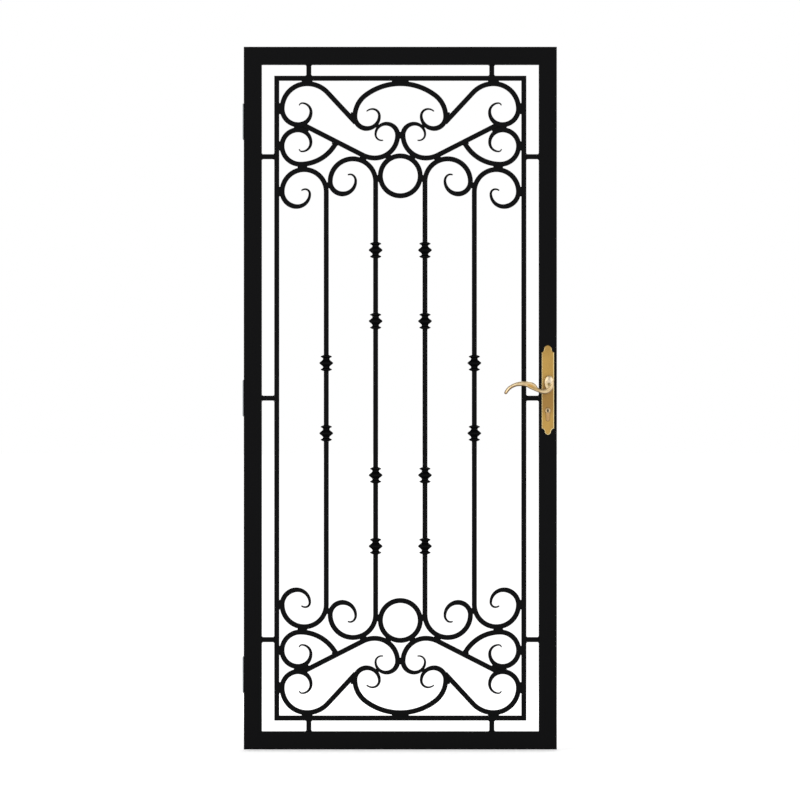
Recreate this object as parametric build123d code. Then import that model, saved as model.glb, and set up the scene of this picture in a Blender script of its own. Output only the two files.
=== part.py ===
"""Wrought iron security door: a tube-framed leaf filled with forged scrollwork, on three back-hung hinges.

Sizes are in millimetres, +Z is up and the viewer stands on the -Y side. The leaf is drawn about its own
centre, and moved at the end so that the row's origin lies on the mounting face of the middle hinge.
"""
import os
from math import cos, radians, sin

from build123d import *

os.makedirs("parts", exist_ok=True)

# Door leaf: 34-3/4 in by 78 in, a frame of 2 in by 1 in tube.
LEAF_WIDTH = 882.65
LEAF_HEIGHT = 1981.2
TUBE_FACE = 50.8
TUBE_DEPTH = 25.4
TUBE_WALL = 1.6
TUBE_EDGE_RADIUS = 2.0

# Every bar inside the frame is 14 mm square.
BAR = 14.0
SIDE_GAP = 35.1
END_GAP = 30.6
SIDE_SPACER_HEIGHTS = (-681.0, 0.0, 681.0)
END_SPACER_PLACES = (-258.0, 258.0)

# Pickets, each with a crook at both ends, and the rings between the inner two.
INNER_PICKET = 69.6
OUTER_PICKET = 208.8
RING_RADIUS = 56.2
RING_HEIGHT = 627.0

# Cast collars on the pickets.
INNER_COLLAR_HEIGHTS = (-417.5, -217.2, 217.2, 417.5)
OUTER_COLLAR_HEIGHTS = (-99.0, 99.0)
COLLAR_HALF_HEIGHT = 23.0
COLLAR_NECK = 9.3
COLLAR_BULGE = 19.6
COLLAR_FLANGE = 15.8
COLLAR_LIP = 7.6

# Weld pads bridge the small gaps where one bar passes another.
WELD_DEPTH = 12.0
WELD_WIDTH = 8.0

# Hinges: a wall plate, a door plate, three knuckles and a pin.
HINGE_HEIGHTS = (-780.0, 0.0, 780.0)
HINGE_HEIGHT = 100.0
KNUCKLES = 3
HINGE_PLATE = 2.5
HINGE_GAP = 1.0
HINGE_BARREL_RADIUS = 5.5
HINGE_PIN_RADIUS = 3.0
HINGE_RUNNING_GAP = 0.05
HINGE_BARREL_CLEARANCE = 1.0
HINGE_DOOR_PLATE_REACH = 44.0
KNUCKLE_GAP = 0.4
PIN_HEAD_RADIUS = 4.5
PIN_HEAD_HEIGHT = 2.0
SCREW_HOLE_RADIUS = 2.75
SCREW_SPACING_Y = 12.0
SCREW_SPACING_Z = 72.0

# Lock furniture: 35 mm backplates, a lever on an 8 mm spindle, and a key cylinder 85 mm below it.
LOCK_X = LEAF_WIDTH / 2 - TUBE_FACE / 2
PLATE_TOP = 150.0
PLATE_BOTTOM = -104.0
PLATE_WIDTH = 35.0
PLATE_THICKNESS = 3.0
PLATE_BEVEL = 2.0
PLATE_DOME = [(0.0, 0.0), (7.5, 4.2), (11.0, 13.5), (13.0, 18.0), (PLATE_WIDTH / 2, 20.5)]
PLATE_FOOT = [(0.0, 0.0), (6.0, 3.2), (9.0, 11.5), (12.0, 16.0), (PLATE_WIDTH / 2, 18.5)]
SPINDLE = 8.0
LEVER_HEIGHT = 50.0
LEVER_NECK_RADIUS = 8.0
LEVER_RUNNING_GAP = 0.08
LEVER_STANDOFF = 36.0
LEVER_THICKNESS = 11.0
LEVER_BOSS_CENTRE = (0.9, -3.0)
LEVER_BOSS_SIZE = (24.8, 30.6)
LEVER_BOSS_ROUND = 4.5
LEVER_SIDES = 12
ROSE_RADIUS = 11.5
ROSE_HEIGHT = 4.0
CYLINDER_HEIGHT = LEVER_HEIGHT - 85.0
CYLINDER_RADIUS = 8.5
CYLINDER_STEM_WIDTH = 10.0
CYLINDER_DROP = 33.0
CYLINDER_PROUD = 3.0
PLUG_RADIUS = 6.5
PLUG_LENGTH = 14.7
PLUG_RUNNING_GAP = 0.06
PLUG_END_GAP = 0.2
KEYWAY_WIDTH = 1.8
KEYWAY_HEIGHT = 8.0
KEYWAY_DEPTH = 10.7
CASE_DEPTH = 38.0
CASE_THICKNESS = 15.0
CASE_TOP = 100.0
CASE_BOTTOM = -85.0
FACEPLATE_WIDTH = 20.0
FACEPLATE_THICKNESS = 3.0
FACEPLATE_TOP = 108.0
FACEPLATE_BOTTOM = -93.0
BOLT_THICKNESS = 11.0
BOLT_LENGTH = 14.0
LATCH_BOLT_HEIGHT = 18.0
DEAD_BOLT_HEIGHT = 30.0

# The lever's arm, from inside its boss to its tip, about the pivot: the place (x, z) of each section, its
# height and thickness, and its bow back to the door. It curls under the boss, widens at the thumb and tapers.
LEVER_ARM = [
    (5.4, 3.0, 7.0, 7.0, 1.0),
    (7.4, -6.0, 11.6, 9.6, 0.4),
    (6.2, -13.6, 12.6, 10.8, 0.0),
    (2.8, -20.8, 13.2, 11.0, 0.0),
    (-3.3, -26.8, 14.0, 11.0, 0.0),
    (-11.0, -29.8, 14.4, 11.0, 0.0),
    (-19.0, -30.4, 13.4, 10.6, 0.0),
    (-27.0, -29.2, 11.6, 10.2, 0.2),
    (-33.4, -27.0, 11.6, 9.8, 0.4),
    (-38.8, -23.3, 14.0, 9.4, 0.7),
    (-43.9, -19.0, 16.8, 9.2, 0.9),
    (-50.5, -15.4, 17.8, 9.2, 1.2),
    (-59.3, -12.0, 16.4, 9.6, 1.6),
    (-68.2, -10.2, 14.4, 10.0, 2.0),
    (-78.5, -10.2, 13.3, 10.0, 2.5),
    (-91.0, -12.6, 13.0, 9.8, 3.2),
    (-102.0, -17.2, 11.8, 9.2, 3.8),
    (-112.4, -25.0, 10.6, 8.4, 4.4),
    (-118.6, -33.0, 9.2, 7.6, 4.9),
    (-121.0, -36.8, 7.6, 6.6, 5.1),
    (-122.6, -39.4, 4.4, 4.0, 5.2),
]

# Derived places.
INNER_HALF_WIDTH = LEAF_WIDTH / 2 - TUBE_FACE - SIDE_GAP
INNER_HALF_HEIGHT = LEAF_HEIGHT / 2 - TUBE_FACE - END_GAP
FIELD_HALF_WIDTH = INNER_HALF_WIDTH - BAR
FIELD_HALF_HEIGHT = INNER_HALF_HEIGHT - BAR
FRONT = -TUBE_DEPTH / 2
BACK = TUBE_DEPTH / 2
EDGE_TO_WALL = HINGE_PLATE + HINGE_GAP
LEAF_SHIFT = EDGE_TO_WALL + LEAF_WIDTH / 2
AXIS_X = HINGE_BARREL_RADIUS
AXIS_Y = BACK + HINGE_BARREL_RADIUS + HINGE_BARREL_CLEARANCE
PLATE_FRONT = FRONT - PLATE_THICKNESS
LEVER_NECK_END = FRONT - 1.0
LEVER_BACK = PLATE_FRONT - LEVER_STANDOFF
LEVER_FRONT = LEVER_BACK - LEVER_THICKNESS
CYLINDER_END = PLATE_FRONT - CYLINDER_PROUD


def save(name, solid, shift=LEAF_SHIFT):
    """Write one sub-part, moved from the leaf's centre to the row's origin."""
    export_step(Pos(shift, 0, 0) * solid, f"parts/{name}.step")


def block(low, high):
    """A box given by its lowest and highest corners."""
    size = [b - a for a, b in zip(low, high)]
    centre = [(a + b) / 2 for a, b in zip(low, high)]
    return Pos(*centre) * Box(*size)


# Bars bent in the plane of the door. A step is (length, angle), with the angle 0 on a straight run.


def run(length):
    """A straight run of bar."""
    return (length, 0.0)


def bend(radius, angle):
    """A bend of bar about its centreline, to the left where the angle is positive."""
    return (radius * radians(abs(angle)), angle)


def turned_right(steps):
    """The same steps with every bend the other way."""
    return [(length, -angle) for length, angle in steps]


def follow(pose, step, share=1.0):
    """The centreline pose (x, z, heading) after a share of one step."""
    x, z, heading = pose
    length = step[0] * share
    angle = step[1] * share
    if angle == 0:
        return (x + length * cos(radians(heading)), z + length * sin(radians(heading)), heading)
    radius = length / radians(angle)
    end = heading + angle
    across = radius * (sin(radians(end)) - sin(radians(heading)))
    along = radius * (cos(radians(heading)) - cos(radians(end)))
    return (x + across, z + along, end)


def cut_at_taper(steps, taper_start):
    """The same steps, cut where the taper starts, and halved beyond it so that its edges stay true."""
    pieces = []
    travelled = 0.0
    for length, angle in steps:
        share = min(max(taper_start - travelled, 0.0), length) / length
        if share > 0:
            pieces.append((length * share, angle * share))
        if share < 1:
            half = ((1 - share) * length / 2, (1 - share) * angle / 2)
            pieces += [half, half]
        travelled += length
    return pieces


def beside(pose, width):
    """The point half a width to the left of a pose, or to the right where the width is negative."""
    x, z, heading = pose
    return (x - sin(radians(heading)) * width / 2, z + cos(radians(heading)) * width / 2)


def bar_face(start, steps, taper=0.0, tip=BAR, bar=BAR):
    """The outline of a bar along its steps, forged to a thin rounded tip over the taper's length."""
    total = sum(length for length, _ in steps)
    taper_start = total - taper
    left, right = [], []
    pose = start
    travelled = 0.0
    for step in cut_at_taper(steps, taper_start):
        poses = [follow(pose, step, share) for share in (0, 0.5, 1)]
        places = [travelled + step[0] * share for share in (0, 0.5, 1)]
        widths = [bar + (tip - bar) * max(0.0, place - taper_start) / max(taper, 1.0) for place in places]
        for side, edges in ((1, left), (-1, right)):
            points = [beside(p, side * w) for p, w in zip(poses, widths)]
            if step[1] == 0:
                edges.append(Line(points[0], points[2]))
            else:
                edges.append(ThreePointArc(*points))
        pose = poses[-1]
        travelled += step[0]
    ends = [Line(left[0] @ 0, right[0] @ 0)]
    if taper > 0:
        nose = follow(pose, run(tip / 2))[:2]
        ends.append(ThreePointArc(left[-1] @ 1, nose, right[-1] @ 1))
    else:
        ends.append(Line(left[-1] @ 1, right[-1] @ 1))
    return make_face(left + right + ends)


def bar_solid(face, depth=BAR):
    """A face drawn in x and z, given the bar's depth about the door's middle plane."""
    return extrude(Plane.XZ * face, depth / 2, both=True)


def side_twin(shape):
    """The mirror image across the leaf's upright centre line."""
    return mirror(shape, Plane.YZ)


# The bends of the upper left quarter, as one smith's set of formers.
HOOK = [bend(45.4, 90), bend(36.0, 90), bend(25.0, 90), bend(8.0, 70)]
INNER_CROOK = [bend(64.1, 180), bend(35.0, 90), bend(37.0, 90), bend(20.0, 45), bend(14.0, 65)]
OUTER_CROOK = [bend(62.3, 180), bend(42.2, 90), bend(36.0, 90), bend(13.0, 85), bend(16.0, 40)]
INNER_CROOK_SPRING = 611.0
OUTER_CROOK_SPRING = 582.6
ARCH_TOP = 887.2
ARCH_BENDS = [bend(163.0, 37), bend(75.4, 53), bend(33.6, 90), bend(35.5, 90), bend(19.5, 90), bend(24.0, 40)]
CORNER_START = (-126.1, 776.8, 132.9)
CORNER_STEPS = [run(116.0), bend(79.0, 47.1), bend(70.4, 90)] + HOOK
BRACE_START = (-276.4, 772.4, -27.0)
BRACE_STEPS = [run(191.6), bend(74.0, 27), bend(64.5, 90), bend(32.2, 90), bend(30.0, 90), bend(17.0, 100)]
SIDE_START = (-183.68, 716.03, 239.0)
SIDE_STEPS = turned_right([run(1.2), bend(114.0, 59), bend(51.7, 90)] + HOOK)


def picket_face(x, spring, crook, taper):
    """A picket left of centre, with the same crook at its top and its foot."""
    half = bar_face((x, 0.0, 90.0), [run(spring)] + crook, taper, 4.0)
    return half + mirror(half, Plane.XZ)


def ring_face():
    """One ring of bar, between the inner pickets."""
    ring = Circle(RING_RADIUS + BAR / 2) - Circle(RING_RADIUS - BAR / 2)
    return Pos(0, RING_HEIGHT) * ring


def frame_faces():
    """The inner frame's upper left corner, as the welds meet it."""
    top = Pos(0, FIELD_HALF_HEIGHT + BAR / 2) * Rectangle(2 * INNER_HALF_WIDTH, BAR)
    left = Pos(-FIELD_HALF_WIDTH - BAR / 2, 0) * Rectangle(BAR, 2 * FIELD_HALF_HEIGHT)
    return [top, left]


def weld_spots():
    """Where a bar passes its neighbour in the upper left quarter: x, z, the joint's slope, its length."""
    return [
        (-262.9, 894.6, 0, 31),
        (-340.9, 816.6, 90, 31),
        (-341.0, 711.4, 90, 26),
        (-340.9, 582.6, 90, 27),
        (-275.3, 652.3, 0, 26),
        (-287.7, 764.1, 0, 24),
        (-266.3, 760.6, -31, 20),
        (-203.8, 600.4, 93, 17),
        (-104.8, 676.6, -24, 20),
        (-63.0, 619.7, 97, 19),
        (-34.1, 680.7, 32, 18),
        (-65.2, 768.1, 45, 12),
        (-134.0, 797.0, -75, 18),
        (-182.2, 718.5, -27, 15),
    ]


def weld_patch(x, z, slope, length):
    """The patch that one weld covers before the bars are taken from it."""
    return Pos(x, z) * Rot(0, 0, slope) * Rectangle(length, WELD_WIDTH)


def mitred_tube(length):
    """One tube of the outer frame, centred, with its outer edge at +Y, mitred at both ends."""
    def trapezoid(inset, depth):
        outer = length / 2 - inset
        inner = length / 2 - TUBE_FACE + inset
        far, near = TUBE_FACE / 2 - inset, -TUBE_FACE / 2 + inset
        outline = Polyline((-outer, far), (outer, far), (inner, near), (-inner, near), close=True)
        return extrude(make_face(outline), depth / 2 - inset, both=True)

    body = trapezoid(0.0, TUBE_DEPTH)
    long_edges = body.edges().filter_by(Axis.X)
    body = fillet(long_edges, TUBE_EDGE_RADIUS)
    return body - trapezoid(TUBE_WALL, TUBE_DEPTH)


def outer_frame():
    """The four mitred tubes of the leaf's frame."""
    upright = Plane.XZ * mitred_tube(LEAF_WIDTH)
    rail = Pos(0, 0, LEAF_HEIGHT / 2 - TUBE_FACE / 2) * upright
    stile = Rot(0, 90, 0) * (Plane.XZ * mitred_tube(LEAF_HEIGHT))
    stile = Pos(LOCK_X, 0, 0) * stile
    return rail, stile


def euro_face():
    """The keyhole-shaped section of the key cylinder, centred on its plug."""
    stem_height = CYLINDER_DROP - CYLINDER_RADIUS
    stem = Pos(0, -stem_height / 2) * Rectangle(CYLINDER_STEM_WIDTH, stem_height)
    foot = Pos(0, -stem_height) * Circle(CYLINDER_STEM_WIDTH / 2)
    return Circle(CYLINDER_RADIUS) + stem + foot


def plate_end(curve, end, inward):
    """Half of one end of a backplate, from points given as (half width, distance from the end)."""
    points = [(width, end + inward * distance) for width, distance in curve]
    return [ThreePointArc(*points[:3]), ThreePointArc(*points[2:])]


def plate_face():
    """A backplate's outline: straight sides, a domed top on two shoulders, and a drawn-in foot."""
    dome = plate_end(PLATE_DOME, PLATE_TOP, -1)
    foot = plate_end(PLATE_FOOT, PLATE_BOTTOM, 1)
    straight = [Line((0, PLATE_BOTTOM), (0, PLATE_TOP)), Line(dome[1] @ 1, foot[1] @ 1)]
    side = make_face(dome + straight + foot)
    return Pos(LOCK_X, 0) * (side + mirror(side, Plane.YZ))


def at_lock(shape, height):
    """A sketch drawn about the origin, moved to a height on the lock stile."""
    return Pos(LOCK_X, height) * shape


def through(face, low, high, taper=0):
    """A prism of an x-z face from y = high towards the front, down to y = low."""
    start = Plane(origin=(0, high, 0), x_dir=(1, 0, 0), z_dir=(0, -1, 0))
    return extrude(start * face, high - low, taper=taper)


def lock_plate():
    """The front backplate: a bevelled rim, a rose for the lever, and the cylinder's cut-out."""
    step = PLATE_FRONT + PLATE_BEVEL
    plate = through(plate_face(), step, FRONT) + through(plate_face(), PLATE_FRONT, step, taper=45)
    plate += through(at_lock(Circle(ROSE_RADIUS), LEVER_HEIGHT), PLATE_FRONT - ROSE_HEIGHT, FRONT)
    bore = through(at_lock(Circle(LEVER_NECK_RADIUS + LEVER_RUNNING_GAP), LEVER_HEIGHT),
                   PLATE_FRONT - 2 * ROSE_HEIGHT, FRONT)
    cylinder = through(at_lock(euro_face(), CYLINDER_HEIGHT), PLATE_FRONT - PLATE_THICKNESS, FRONT)
    return plate - bore - cylinder


def oval_face(thickness, height):
    """An oval section of the arm, with many flats."""
    turns = [radians(360 * (side + 0.5) / LEVER_SIDES) for side in range(LEVER_SIDES)]
    corners = [(thickness / 2 * cos(turn), height / 2 * sin(turn)) for turn in turns]
    return make_face(Polyline(*corners, close=True))


def lever_arm():
    """The arm, lofted through oval sections square to its curving centreline."""
    middle = (LEVER_FRONT + LEVER_BACK) / 2
    points = [Vector(LOCK_X + x, middle + bow, LEVER_HEIGHT + z) for x, z, _, _, bow in LEVER_ARM]
    centreline = Spline(*points)
    sections = []
    for point, (_, _, height, thickness, _) in zip(points, LEVER_ARM):
        along = centreline.tangent_at(centreline.param_at_point(point))
        section = Plane(origin=point, x_dir=Vector(0, 1, 0), z_dir=along)
        sections.append(section * oval_face(thickness, height))
    return loft(sections, ruled=True)


def lever():
    """The front lever: a round neck in the plate's rose, a domed boss, and the arm that is gripped."""
    width, height = LEVER_BOSS_SIZE
    boss_face = Pos(*LEVER_BOSS_CENTRE) * Rot(0, 0, 90) * SlotOverall(height, width)
    boss = through(at_lock(boss_face, LEVER_HEIGHT), LEVER_FRONT, LEVER_BACK)
    front_rim = boss.edges().group_by(Axis.Y)[0]
    boss = fillet(front_rim, LEVER_BOSS_ROUND)
    neck = through(at_lock(Circle(LEVER_NECK_RADIUS), LEVER_HEIGHT), LEVER_BACK - 1.0, LEVER_NECK_END)
    half = SPINDLE / 2
    socket = block((LOCK_X - half, LEVER_BACK, LEVER_HEIGHT - half),
                   (LOCK_X + half, LEVER_NECK_END, LEVER_HEIGHT + half))
    return boss + lever_arm() + neck - socket


def knuckle_ranges(kind):
    """The heights of the wall's knuckles, the first and last, or of the door's between them."""
    pitch = HINGE_HEIGHT / KNUCKLES
    foot = -HINGE_HEIGHT / 2
    first, inset = (0, 0.0) if kind == "wall" else (1, KNUCKLE_GAP)
    places = range(first, KNUCKLES, 2)
    return [(foot + i * pitch + inset, foot + (i + 1) * pitch - inset) for i in places]


def wall_hinge_leaf():
    """A plate on the jamb's face, its edge curled round the pin in two knuckles, with four screw holes."""
    plate = block((0, FRONT, -HINGE_HEIGHT / 2), (HINGE_PLATE, BACK, HINGE_HEIGHT / 2))
    for low, high in knuckle_ranges("wall"):
        plate += block((0, BACK, low), (HINGE_PLATE, AXIS_Y, high))
        plate += Pos(AXIS_X, AXIS_Y, (low + high) / 2) * Cylinder(HINGE_BARREL_RADIUS, high - low)
    plate -= Pos(AXIS_X, AXIS_Y, 0) * Cylinder(HINGE_PIN_RADIUS, HINGE_HEIGHT)
    hole = Cylinder(SCREW_HOLE_RADIUS, 4 * HINGE_PLATE, rotation=(0, 90, 0))
    for y in (-SCREW_SPACING_Y / 2, SCREW_SPACING_Y / 2):
        for z in (-SCREW_SPACING_Z / 2, SCREW_SPACING_Z / 2):
            plate -= Pos(HINGE_PLATE / 2, y, z) * hole
    return plate


def door_hinge_leaf():
    """A plate welded to the stile's back, its edge curled round the pin in one knuckle."""
    clear_x = AXIS_X + HINGE_BARREL_RADIUS + HINGE_BARREL_CLEARANCE
    half = HINGE_HEIGHT / 2
    plate = block((clear_x, BACK, -half), (AXIS_X + HINGE_DOOR_PLATE_REACH, BACK + HINGE_PLATE, half))
    for low, high in knuckle_ranges("door"):
        plate += block((AXIS_X, BACK, low), (clear_x, BACK + HINGE_PLATE, high))
        plate += Pos(AXIS_X, AXIS_Y, (low + high) / 2) * Cylinder(HINGE_BARREL_RADIUS, high - low)
    bore = Cylinder(HINGE_PIN_RADIUS + HINGE_RUNNING_GAP, HINGE_HEIGHT)
    return plate - Pos(AXIS_X, AXIS_Y, 0) * bore


def hinge_pin():
    """A pin with a flat button at each end."""
    pin = Cylinder(HINGE_PIN_RADIUS, HINGE_HEIGHT)
    for side in (-1, 1):
        height = side * (HINGE_HEIGHT + PIN_HEAD_HEIGHT) / 2
        pin += Pos(0, 0, height) * Cylinder(PIN_HEAD_RADIUS, PIN_HEAD_HEIGHT)
    return Pos(AXIS_X, AXIS_Y, 0) * pin


def collar():
    """A cast collar: square in plan, a ridged belly between two necks and two flanges, on the square bar."""
    tip, neck, flange, top = COLLAR_BULGE, COLLAR_NECK, COLLAR_FLANGE, COLLAR_HALF_HEIGHT
    outline = Polyline((0, 0), (tip, 0), (tip - 1.6, 2.4), (neck + 2.0, 8.0), (neck, 10.6), (neck, 13.0),
                       (neck + 1.6, 15.0), (flange - 0.8, 16.8), (flange, 18.2), (flange - 1.4, 20.0),
                       (COLLAR_LIP, top), (0, top), close=True)
    quarter = make_face(outline)
    half = quarter + mirror(quarter, Plane.XZ)
    profile = half + mirror(half, Plane.YZ)
    across = extrude(Plane.XZ * profile, tip, both=True)
    along = Rot(0, 0, 90) * across
    return Part() + (across & along) - Box(BAR, BAR, 4 * top)


# Outer frame, with the lock's openings through the right stile.
rail, stile = outer_frame()
save("top_rail", rail)
save("bottom_rail", mirror(rail, Plane.XY))
save("left_stile", side_twin(stile))
faceplate_cut = block((LEAF_WIDTH / 2 - FACEPLATE_THICKNESS, -FACEPLATE_WIDTH / 2, FACEPLATE_BOTTOM),
                      (LEAF_WIDTH / 2 + 1, FACEPLATE_WIDTH / 2, FACEPLATE_TOP))
spindle_hole = through(at_lock(Circle(LEVER_NECK_RADIUS + 1.5), LEVER_HEIGHT), FRONT - 1, BACK + 1)
cylinder_hole = through(at_lock(euro_face(), CYLINDER_HEIGHT), FRONT - 1, BACK + 1)
save("right_stile", stile - faceplate_cut - spindle_hole - cylinder_hole)

# Inner frame and its spacers.
long_bar = Pos(-FIELD_HALF_WIDTH - BAR / 2, 0, 0) * Box(BAR, BAR, 2 * INNER_HALF_HEIGHT)
cross_bar = Pos(0, 0, FIELD_HALF_HEIGHT + BAR / 2) * Box(2 * FIELD_HALF_WIDTH, BAR, BAR)
save("inner_left_bar", long_bar)
save("inner_right_bar", side_twin(long_bar))
save("inner_top_bar", cross_bar)
save("inner_bottom_bar", mirror(cross_bar, Plane.XY))
side_spacers = []
for height in SIDE_SPACER_HEIGHTS:
    for side in (-1, 1):
        place = Pos(side * (INNER_HALF_WIDTH + SIDE_GAP / 2), 0, height)
        side_spacers.append(place * Box(SIDE_GAP, BAR, BAR))
save("side_spacers", Compound(side_spacers))
end_spacers = []
for x in END_SPACER_PLACES:
    for side in (-1, 1):
        place = Pos(x, 0, side * (INNER_HALF_HEIGHT + END_GAP / 2))
        end_spacers.append(place * Box(BAR, BAR, END_GAP))
save("end_spacers", Compound(end_spacers))

# Pickets and their collars.
outer_picket = picket_face(-OUTER_PICKET, OUTER_CROOK_SPRING, OUTER_CROOK, 100.0)
inner_picket = picket_face(-INNER_PICKET, INNER_CROOK_SPRING, INNER_CROOK, 90.0)
outer_solid = bar_solid(outer_picket)
inner_solid = bar_solid(inner_picket)
save("picket_1", outer_solid)
save("picket_2", inner_solid)
save("picket_3", side_twin(inner_solid))
save("picket_4", side_twin(outer_solid))
collars = []
one_collar = collar()
for x, heights in ((OUTER_PICKET, OUTER_COLLAR_HEIGHTS), (INNER_PICKET, INNER_COLLAR_HEIGHTS)):
    for height in heights:
        collars += [Pos(side * x, 0, height) * one_collar for side in (-1, 1)]
save("picket_collars", Compound(collars))

# Rings and scrolls. The diagonal of a corner scroll is coped to the arch. A brace starts in the fork between
# the two hooks beside it, coped to the upper one, and a side scroll butts against it from below.
ring = ring_face()
arch_half = bar_face((0.0, ARCH_TOP, 180.0), ARCH_BENDS, 110.0, 3.5)
arch = arch_half + mirror(arch_half, Plane.YZ)
corner = bar_face(CORNER_START, CORNER_STEPS, 95.0, 3.2) - arch_half
side = bar_face(SIDE_START, SIDE_STEPS, 95.0, 3.2)
brace = bar_face(BRACE_START, BRACE_STEPS, 113.0, 3.5) - corner
for name, face in (("ring", ring), ("arch_scroll", arch)):
    solid = bar_solid(face)
    save(f"upper_{name}", solid)
    save(f"lower_{name}", mirror(solid, Plane.XY))
for name, face in (("corner_scroll", corner), ("brace_scroll", brace), ("side_scroll", side)):
    solid = bar_solid(face)
    save(f"upper_left_{name}", solid)
    save(f"upper_right_{name}", side_twin(solid))
    save(f"lower_left_{name}", mirror(solid, Plane.XY))
    save(f"lower_right_{name}", mirror(side_twin(solid), Plane.XY))

# Welds: the patches less the bars, in four quarters, and the two on the centre line at each end.
bars = frame_faces() + [outer_picket, inner_picket, ring, arch, brace, corner, side]
pads = Sketch() + [weld_patch(*spot) for spot in weld_spots()]
for bar in bars:
    pads -= bar
centre_pads = Sketch() + [weld_patch(0, 741.5, 90, 19), weld_patch(0, 894.7, 0, 48)]
for bar in [frame_faces()[0], arch, brace, mirror(brace, Plane.YZ)]:
    centre_pads -= bar
quarter_welds = bar_solid(pads, WELD_DEPTH).solids()
upper_welds = quarter_welds + [side_twin(weld) for weld in quarter_welds]
upper_welds += bar_solid(centre_pads, WELD_DEPTH).solids()
save("upper_welds", Compound(upper_welds))
save("lower_welds", Compound([mirror(weld, Plane.XY) for weld in upper_welds]))

# Lock: case with its faceplate, bolt ends, cylinder, plugs, backplates, levers and spindle.
edge = LEAF_WIDTH / 2
case = block((edge - FACEPLATE_THICKNESS - CASE_DEPTH, -CASE_THICKNESS / 2, CASE_BOTTOM),
             (edge - FACEPLATE_THICKNESS, CASE_THICKNESS / 2, CASE_TOP))
case += block((edge - FACEPLATE_THICKNESS, -FACEPLATE_WIDTH / 2, FACEPLATE_BOTTOM),
              (edge, FACEPLATE_WIDTH / 2, FACEPLATE_TOP))
bolts = []
for middle, height in ((LEVER_HEIGHT, LATCH_BOLT_HEIGHT), (CYLINDER_HEIGHT, DEAD_BOLT_HEIGHT)):
    bolts.append(Pos(edge - BOLT_LENGTH / 2, 0, middle) * Box(BOLT_LENGTH, BOLT_THICKNESS, height))
for bolt in bolts:
    case -= bolt
case -= through(at_lock(Circle(LEVER_NECK_RADIUS - 1.5), LEVER_HEIGHT), -CASE_THICKNESS, CASE_THICKNESS)
case -= through(at_lock(euro_face(), CYLINDER_HEIGHT), -CASE_THICKNESS, CASE_THICKNESS)
save("mortise_lock", case)
save("lock_bolts", Compound(bolts))

plate = lock_plate()
save("front_lock_plate", plate)
save("back_lock_plate", mirror(plate, Plane.XZ))

plug_end = CYLINDER_END + PLUG_LENGTH
cylinder = through(at_lock(euro_face(), CYLINDER_HEIGHT), CYLINDER_END, -CYLINDER_END)
plug_bore = through(at_lock(Circle(PLUG_RADIUS + PLUG_RUNNING_GAP), CYLINDER_HEIGHT),
                    CYLINDER_END, plug_end + PLUG_END_GAP)
save("lock_cylinder", cylinder - plug_bore - mirror(plug_bore, Plane.XZ))
keyway = through(at_lock(Rectangle(KEYWAY_WIDTH, KEYWAY_HEIGHT), CYLINDER_HEIGHT),
                 CYLINDER_END, CYLINDER_END + KEYWAY_DEPTH)
plug = through(at_lock(Circle(PLUG_RADIUS), CYLINDER_HEIGHT), CYLINDER_END, plug_end) - keyway
save("front_key_plug", plug)
save("back_key_plug", mirror(plug, Plane.XZ))

front_lever = lever()
save("front_lever", front_lever)
save("back_lever", mirror(front_lever, Plane.XZ))
spindle_length = -2 * LEVER_BACK
save("lever_spindle", Pos(LOCK_X, 0, LEVER_HEIGHT) * Box(SPINDLE, spindle_length, SPINDLE))

# Hinges, drawn about the row's origin.
wall_leaves = [Pos(0, 0, height) * wall_hinge_leaf() for height in HINGE_HEIGHTS]
door_leaves = [Pos(0, 0, height) * door_hinge_leaf() for height in HINGE_HEIGHTS]
pins = [Pos(0, 0, height) * hinge_pin() for height in HINGE_HEIGHTS]
save("hinge_wall_leaves", Compound(wall_leaves), shift=0)
save("hinge_door_leaves", Compound(door_leaves), shift=0)
save("hinge_pins", Compound(pins), shift=0)
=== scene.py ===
"""Wrought iron security door: the finishes, welds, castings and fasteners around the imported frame.

Lengths are in metres, +Z is up, the viewer stands on the -Y side, and the origin is on the mounting face
of the middle hinge.
"""

from math import atan2, cos, degrees, exp, hypot, pi, radians, sin

import bpy
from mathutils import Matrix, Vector


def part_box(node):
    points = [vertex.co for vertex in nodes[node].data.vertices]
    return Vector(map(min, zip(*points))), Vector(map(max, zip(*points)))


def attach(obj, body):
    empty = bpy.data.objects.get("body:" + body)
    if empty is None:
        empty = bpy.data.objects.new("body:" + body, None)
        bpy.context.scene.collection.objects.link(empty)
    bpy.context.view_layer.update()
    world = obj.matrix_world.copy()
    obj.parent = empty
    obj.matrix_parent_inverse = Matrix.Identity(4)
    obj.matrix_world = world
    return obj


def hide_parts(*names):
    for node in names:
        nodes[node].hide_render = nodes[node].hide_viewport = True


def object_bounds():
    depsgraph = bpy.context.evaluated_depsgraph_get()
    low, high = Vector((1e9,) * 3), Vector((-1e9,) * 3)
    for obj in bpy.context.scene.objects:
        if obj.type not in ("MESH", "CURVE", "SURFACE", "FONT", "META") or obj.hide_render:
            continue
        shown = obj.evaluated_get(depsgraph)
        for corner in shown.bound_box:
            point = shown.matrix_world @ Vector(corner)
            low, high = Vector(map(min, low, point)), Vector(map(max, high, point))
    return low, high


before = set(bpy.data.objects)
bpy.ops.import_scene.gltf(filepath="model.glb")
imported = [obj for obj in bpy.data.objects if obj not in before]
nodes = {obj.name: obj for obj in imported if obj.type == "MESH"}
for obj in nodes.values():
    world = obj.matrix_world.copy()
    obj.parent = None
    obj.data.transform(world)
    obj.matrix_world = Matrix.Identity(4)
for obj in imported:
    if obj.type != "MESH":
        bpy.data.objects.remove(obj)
cad_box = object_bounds()


# Outer frame
# Four lengths of 2 in by 1 in steel tube, mitred, welded and ground flush. The whole leaf is powder coated
# after welding: a baked polyester skin with a satin sheen and a very fine orange peel.

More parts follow.
